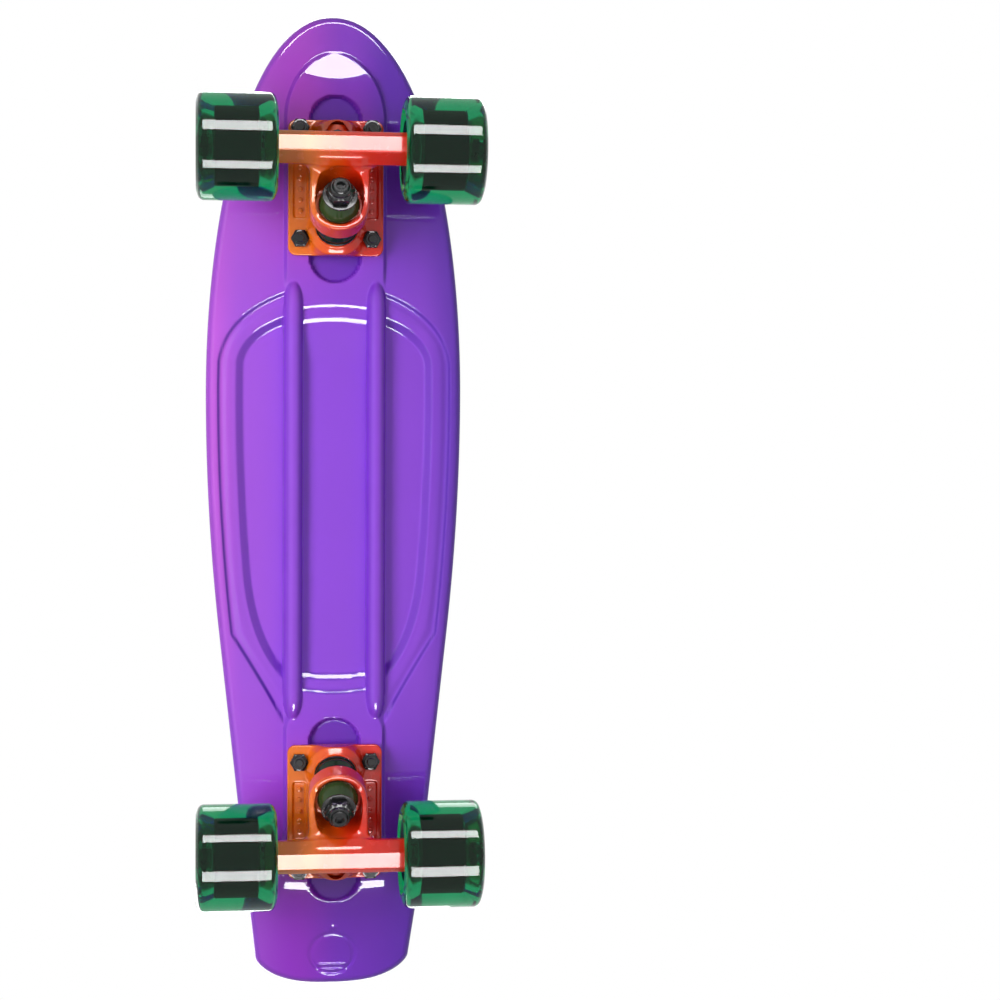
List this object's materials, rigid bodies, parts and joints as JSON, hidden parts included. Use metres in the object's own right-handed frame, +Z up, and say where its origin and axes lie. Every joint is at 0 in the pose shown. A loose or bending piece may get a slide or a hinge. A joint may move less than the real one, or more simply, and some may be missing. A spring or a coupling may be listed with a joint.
{
  "type": "cruiser skateboard",
  "caption": "Small plastic cruiser skateboard: a moulded deck with a kicked tail on two sprung kingpin trucks with wide soft translucent wheels.",
  "frame": {"origin": "on the ground, under the middle of the deck length and width", "axes": "+X to the nose, +Y to the left of a rider facing the nose, +Z up"},
  "size_m": [0.5716, 0.1598, 0.1081],
  "materials": {
    "deck_plastic": "glossy translucent violet plastic",
    "truck_metal": "glossy candy orange to red over cast aluminium",
    "axle_steel": "zinc plated steel",
    "black_steel": "black oxide steel",
    "bearing_steel": "ground steel with black shields",
    "bushing": "dark green urethane",
    "pivot_cup": "black urethane",
    "wheel": "clear emerald green urethane",
    "wheel_core": "dark nylon core"
  },
  "bodies": {
    "deck": {"deck": "deck_plastic", "front_baseplate": "truck_metal", "front_pivot_cup": "pivot_cup", "front_kingpin": "black_steel", "front_kingpin_nut": "black_steel", "front_boardside_bushing": "bushing", "front_roadside_bushing": "bushing", "front_boardside_washer": "black_steel", "front_roadside_washer": "black_steel", "front_outer_left_bolt": "black_steel", "front_outer_right_bolt": "black_steel", "front_inner_left_bolt": "black_steel", "front_inner_right_bolt": "black_steel", "rear_baseplate": "truck_metal", "rear_pivot_cup": "pivot_cup", "rear_kingpin": "black_steel", "rear_kingpin_nut": "black_steel", "rear_boardside_bushing": "bushing", "rear_roadside_bushing": "bushing", "rear_boardside_washer": "black_steel", "rear_roadside_washer": "black_steel", "rear_outer_left_bolt": "black_steel", "rear_outer_right_bolt": "black_steel", "rear_inner_left_bolt": "black_steel", "rear_inner_right_bolt": "black_steel"},
    "front_hanger": {"front_hanger": "truck_metal", "front_axle": "axle_steel", "front_left_axle_nut": "black_steel", "front_left_outboard_inner_race": "bearing_steel", "front_left_inboard_inner_race": "bearing_steel", "front_right_axle_nut": "black_steel", "front_right_outboard_inner_race": "bearing_steel", "front_right_inboard_inner_race": "bearing_steel"},
    "front_left_wheel": {"front_left_tyre": "wheel", "front_left_core": "wheel_core", "front_left_outboard_outer_race": "bearing_steel", "front_left_inboard_outer_race": "bearing_steel"},
    "front_right_wheel": {"front_right_tyre": "wheel", "front_right_core": "wheel_core", "front_right_outboard_outer_race": "bearing_steel", "front_right_inboard_outer_race": "bearing_steel"},
    "rear_hanger": {"rear_hanger": "truck_metal", "rear_axle": "axle_steel", "rear_left_axle_nut": "black_steel", "rear_left_outboard_inner_race": "bearing_steel", "rear_left_inboard_inner_race": "bearing_steel", "rear_right_axle_nut": "black_steel", "rear_right_outboard_inner_race": "bearing_steel", "rear_right_inboard_inner_race": "bearing_steel"},
    "rear_left_wheel": {"rear_left_tyre": "wheel", "rear_left_core": "wheel_core", "rear_left_outboard_outer_race": "bearing_steel", "rear_left_inboard_outer_race": "bearing_steel"},
    "rear_right_wheel": {"rear_right_tyre": "wheel", "rear_right_core": "wheel_core", "rear_right_outboard_outer_race": "bearing_steel", "rear_right_inboard_outer_race": "bearing_steel"}
  },
  "joints": [
    {"name": "front_steer", "type": "hinge", "parent": "deck", "child": "front_hanger", "pos_m": [0.16845, 0, 0.048], "axis": [0.9174, 0, 0.3979], "range_deg": [-12, 12], "stiffness_Nm_per_rad": 40, "deforming": ["front_boardside_bushing", "front_roadside_bushing"]},
    {"name": "front_left_wheel_spin", "type": "hinge", "parent": "front_hanger", "child": "front_left_wheel", "pos_m": [0.20095, 0.0574, 0.03], "axis": [0, 1, 0], "continuous": true},
    {"name": "front_right_wheel_spin", "type": "hinge", "parent": "front_hanger", "child": "front_right_wheel", "pos_m": [0.20095, -0.0574, 0.03], "axis": [0, 1, 0], "continuous": true},
    {"name": "rear_steer", "type": "hinge", "parent": "deck", "child": "rear_hanger", "pos_m": [-0.16275, 0, 0.048], "axis": [-0.9174, 0, 0.3979], "range_deg": [-12, 12], "stiffness_Nm_per_rad": 40, "deforming": ["rear_boardside_bushing", "rear_roadside_bushing"]},
    {"name": "rear_left_wheel_spin", "type": "hinge", "parent": "rear_hanger", "child": "rear_left_wheel", "pos_m": [-0.19525, 0.0574, 0.03], "axis": [0, 1, 0], "continuous": true},
    {"name": "rear_right_wheel_spin", "type": "hinge", "parent": "rear_hanger", "child": "rear_right_wheel", "pos_m": [-0.19525, -0.0574, 0.03], "axis": [0, 1, 0], "continuous": true}
  ]
}
